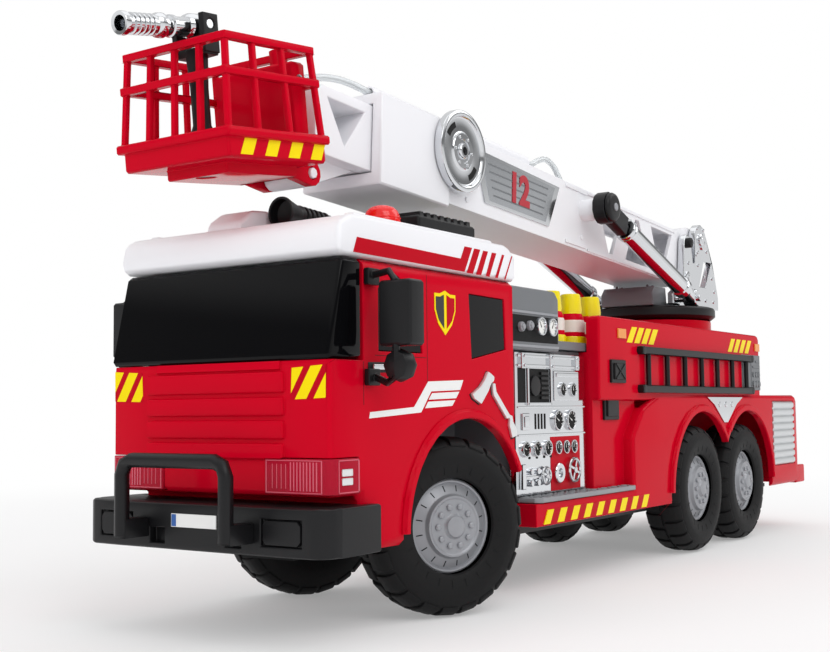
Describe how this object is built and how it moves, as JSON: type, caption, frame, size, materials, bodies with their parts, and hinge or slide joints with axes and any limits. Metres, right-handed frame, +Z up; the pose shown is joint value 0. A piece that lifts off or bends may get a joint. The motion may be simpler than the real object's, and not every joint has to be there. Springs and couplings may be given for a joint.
{
  "type": "toy fire engine",
  "caption": "Plastic toy fire engine with a steered front axle, rolling wheels, a turntable with a telescopic boom, a rescue basket and a tilting water nozzle.",
  "frame": {"origin": "on the ground under the middle of the object's box, from the rear platform to the nozzle tip", "axes": "+X forward, +Y to the vehicle's left, +Z up"},
  "size_m": [0.6735, 0.177, 0.2678],
  "materials": {
    "red_gloss_abs": "glossy moulded ABS",
    "white_abs": "satin moulded ABS",
    "black_abs": "satin moulded ABS",
    "window_black": "high gloss black",
    "grey_abs": "satin grey ABS",
    "chrome_abs": "chrome plated ABS",
    "silver_abs": "silver painted ABS",
    "axle_steel": "plain steel rod",
    "tyre_rubber": "soft matt black",
    "clear_lens": "clear ribbed polystyrene",
    "red_lens": "red transparent polystyrene",
    "bottle_yellow": "glossy moulded ABS",
    "clear_hose": "clear soft PVC tube"
  },
  "bodies": {
    "chassis": {"chassis_frame": "black_abs", "battery_cover": "black_abs", "cab_shell": "red_gloss_abs", "windscreen": "window_black", "side_glass_left": "window_black", "side_glass_right": "window_black", "cab_roof": "white_abs", "headlight_left": "clear_lens", "headlight_right": "clear_lens", "beacon_left": "red_lens", "beacon_right": "red_lens", "mirror_left": "black_abs", "mirror_right": "black_abs", "air_horn": "black_abs", "roof_vent": "black_abs", "front_bumper": "black_abs", "bull_bar": "black_abs", "pump_housing": "grey_abs", "pump_panel_left": "chrome_abs", "pump_panel_right": "chrome_abs", "running_board_left": "grey_abs", "running_board_right": "grey_abs", "bottle_rack": "bottle_yellow", "rear_body": "red_gloss_abs", "shutter_left": "silver_abs", "shutter_right": "silver_abs", "side_ladder_left": "black_abs", "side_ladder_right": "black_abs"},
    "knuckle_left": {"steering_knuckle_left": "black_abs"},
    "knuckle_right": {"steering_knuckle_right": "black_abs"},
    "tie_rod": {"tie_rod": "black_abs"},
    "wheel_front_left": {"tyre_front_left": "tyre_rubber", "rim_front_left": "silver_abs"},
    "wheel_front_right": {"tyre_front_right": "tyre_rubber", "rim_front_right": "silver_abs"},
    "middle_wheels": {"middle_axle": "axle_steel", "tyre_middle_left": "tyre_rubber", "rim_middle_left": "silver_abs", "tyre_middle_right": "tyre_rubber", "rim_middle_right": "silver_abs"},
    "rear_wheels": {"rear_axle": "axle_steel", "tyre_rear_left": "tyre_rubber", "rim_rear_left": "silver_abs", "tyre_rear_right": "tyre_rubber", "rim_rear_right": "silver_abs"},
    "turntable": {"turntable": "black_abs", "mast_bracket": "chrome_abs", "console": "grey_abs"},
    "boom": {"boom_outer": "white_abs", "hose_rear": "clear_hose"},
    "winding_wheel": {"winding_wheel": "chrome_abs"},
    "boom_inner": {"boom_inner": "white_abs", "hose_front": "clear_hose"},
    "basket": {"basket": "red_gloss_abs"},
    "monitor_post": {"monitor_post": "black_abs"},
    "monitor_nozzle": {"monitor_nozzle": "chrome_abs"},
    "cylinder_barrel_left": {"cylinder_barrel_left": "chrome_abs"},
    "cylinder_barrel_right": {"cylinder_barrel_right": "chrome_abs"},
    "cylinder_rod_left": {"cylinder_rod_left": "black_abs"},
    "cylinder_rod_right": {"cylinder_rod_right": "black_abs"}
  },
  "joints": [
    {"name": "steer_left", "type": "hinge", "parent": "chassis", "child": "knuckle_left", "pos_m": [0.173, 0.03, 0.04177], "axis": [0, 0, 1], "range_deg": [-2, 48]},
    {"name": "steer_right", "type": "hinge", "parent": "chassis", "child": "knuckle_right", "pos_m": [0.173, -0.03, 0.04177], "axis": [0, 0, 1], "range_deg": [-2, 48]},
    {"name": "tie_rod_slide", "type": "slide", "parent": "chassis", "child": "tie_rod", "axis": [0, 1, 0], "range_m": [-0.0116, 0.0006]},
    {"name": "wheel_spin_front_left", "type": "hinge", "parent": "knuckle_left", "child": "wheel_front_left", "pos_m": [0.18081, 0.04841, 0.04177], "axis": [0.3907, 0.9205, 0], "continuous": true},
    {"name": "wheel_spin_front_right", "type": "hinge", "parent": "knuckle_right", "child": "wheel_front_right", "pos_m": [0.16519, -0.04841, 0.04177], "axis": [0.3907, 0.9205, 0], "continuous": true},
    {"name": "wheel_spin_middle", "type": "hinge", "parent": "chassis", "child": "middle_wheels", "pos_m": [-0.113, 0, 0.04177], "axis": [0, 1, 0], "continuous": true},
    {"name": "wheel_spin_rear", "type": "hinge", "parent": "chassis", "child": "rear_wheels", "pos_m": [-0.2, 0, 0.04177], "axis": [0, 1, 0], "continuous": true},
    {"name": "turntable_swivel", "type": "hinge", "parent": "chassis", "child": "turntable", "pos_m": [-0.181, 0, 0.168], "axis": [0, 0, 1], "continuous": true},
    {"name": "boom_lift", "type": "hinge", "parent": "turntable", "child": "boom", "pos_m": [-0.212, 0, 0.222], "axis": [0, -1, 0], "range_deg": [0, 40]},
    {"name": "boom_extend", "type": "slide", "parent": "boom", "child": "boom_inner", "axis": [0.9981, 0, 0.061], "range_m": [0, 0.11]},
    {"name": "winding_wheel_turn", "type": "hinge", "parent": "boom", "child": "winding_wheel", "pos_m": [0.12451, 0, 0.23206], "axis": [0, 1, 0], "range_deg": [0, 570]},
    {"name": "basket_tilt", "type": "hinge", "parent": "boom_inner", "child": "basket", "pos_m": [0.233, 0, 0.205], "axis": [0, 1, 0], "range_deg": [0, 20]},
    {"name": "monitor_swivel", "type": "hinge", "parent": "basket", "child": "monitor_post", "pos_m": [0.28665, 0, 0.19889], "axis": [0.1132, 0, 0.9936], "range_deg": [-60, 60]},
    {"name": "nozzle_tilt", "type": "hinge", "parent": "monitor_post", "child": "monitor_nozzle", "pos_m": [0.29367, 0, 0.26049], "axis": [0, 1, 0], "range_deg": [-40, 0]},
    {"name": "cylinder_left_pivot", "type": "hinge", "parent": "turntable", "child": "cylinder_barrel_left", "pos_m": [-0.169, 0.037, 0.174], "axis": [0, -1, 0], "range_deg": [0, 42]},
    {"name": "cylinder_right_pivot", "type": "hinge", "parent": "turntable", "child": "cylinder_barrel_right", "pos_m": [-0.169, -0.037, 0.174], "axis": [0, -1, 0], "range_deg": [0, 42]},
    {"name": "cylinder_left_stroke", "type": "slide", "parent": "cylinder_barrel_left", "child": "cylinder_rod_left", "axis": [0.9487, 0, 0.3162], "range_m": [0, 0.0445]},
    {"name": "cylinder_right_stroke", "type": "slide", "parent": "cylinder_barrel_right", "child": "cylinder_rod_right", "axis": [0.9487, 0, 0.3162], "range_m": [0, 0.0445]}
  ],
  "couplings": [
    {"joint": "steer_right", "follows": "steer_left", "ratio": 1},
    {"joint": "tie_rod_slide", "follows": "steer_left", "m_per_rad": -0.0136},
    {"joint": "winding_wheel_turn", "follows": "boom_extend", "rad_per_m": 90},
    {"joint": "cylinder_left_pivot", "follows": "boom_lift", "ratio": 1.035},
    {"joint": "cylinder_right_pivot", "follows": "boom_lift", "ratio": 1.035},
    {"joint": "cylinder_left_stroke", "follows": "boom_lift", "m_per_rad": 0.063},
    {"joint": "cylinder_right_stroke", "follows": "boom_lift", "m_per_rad": 0.063}
  ]
}
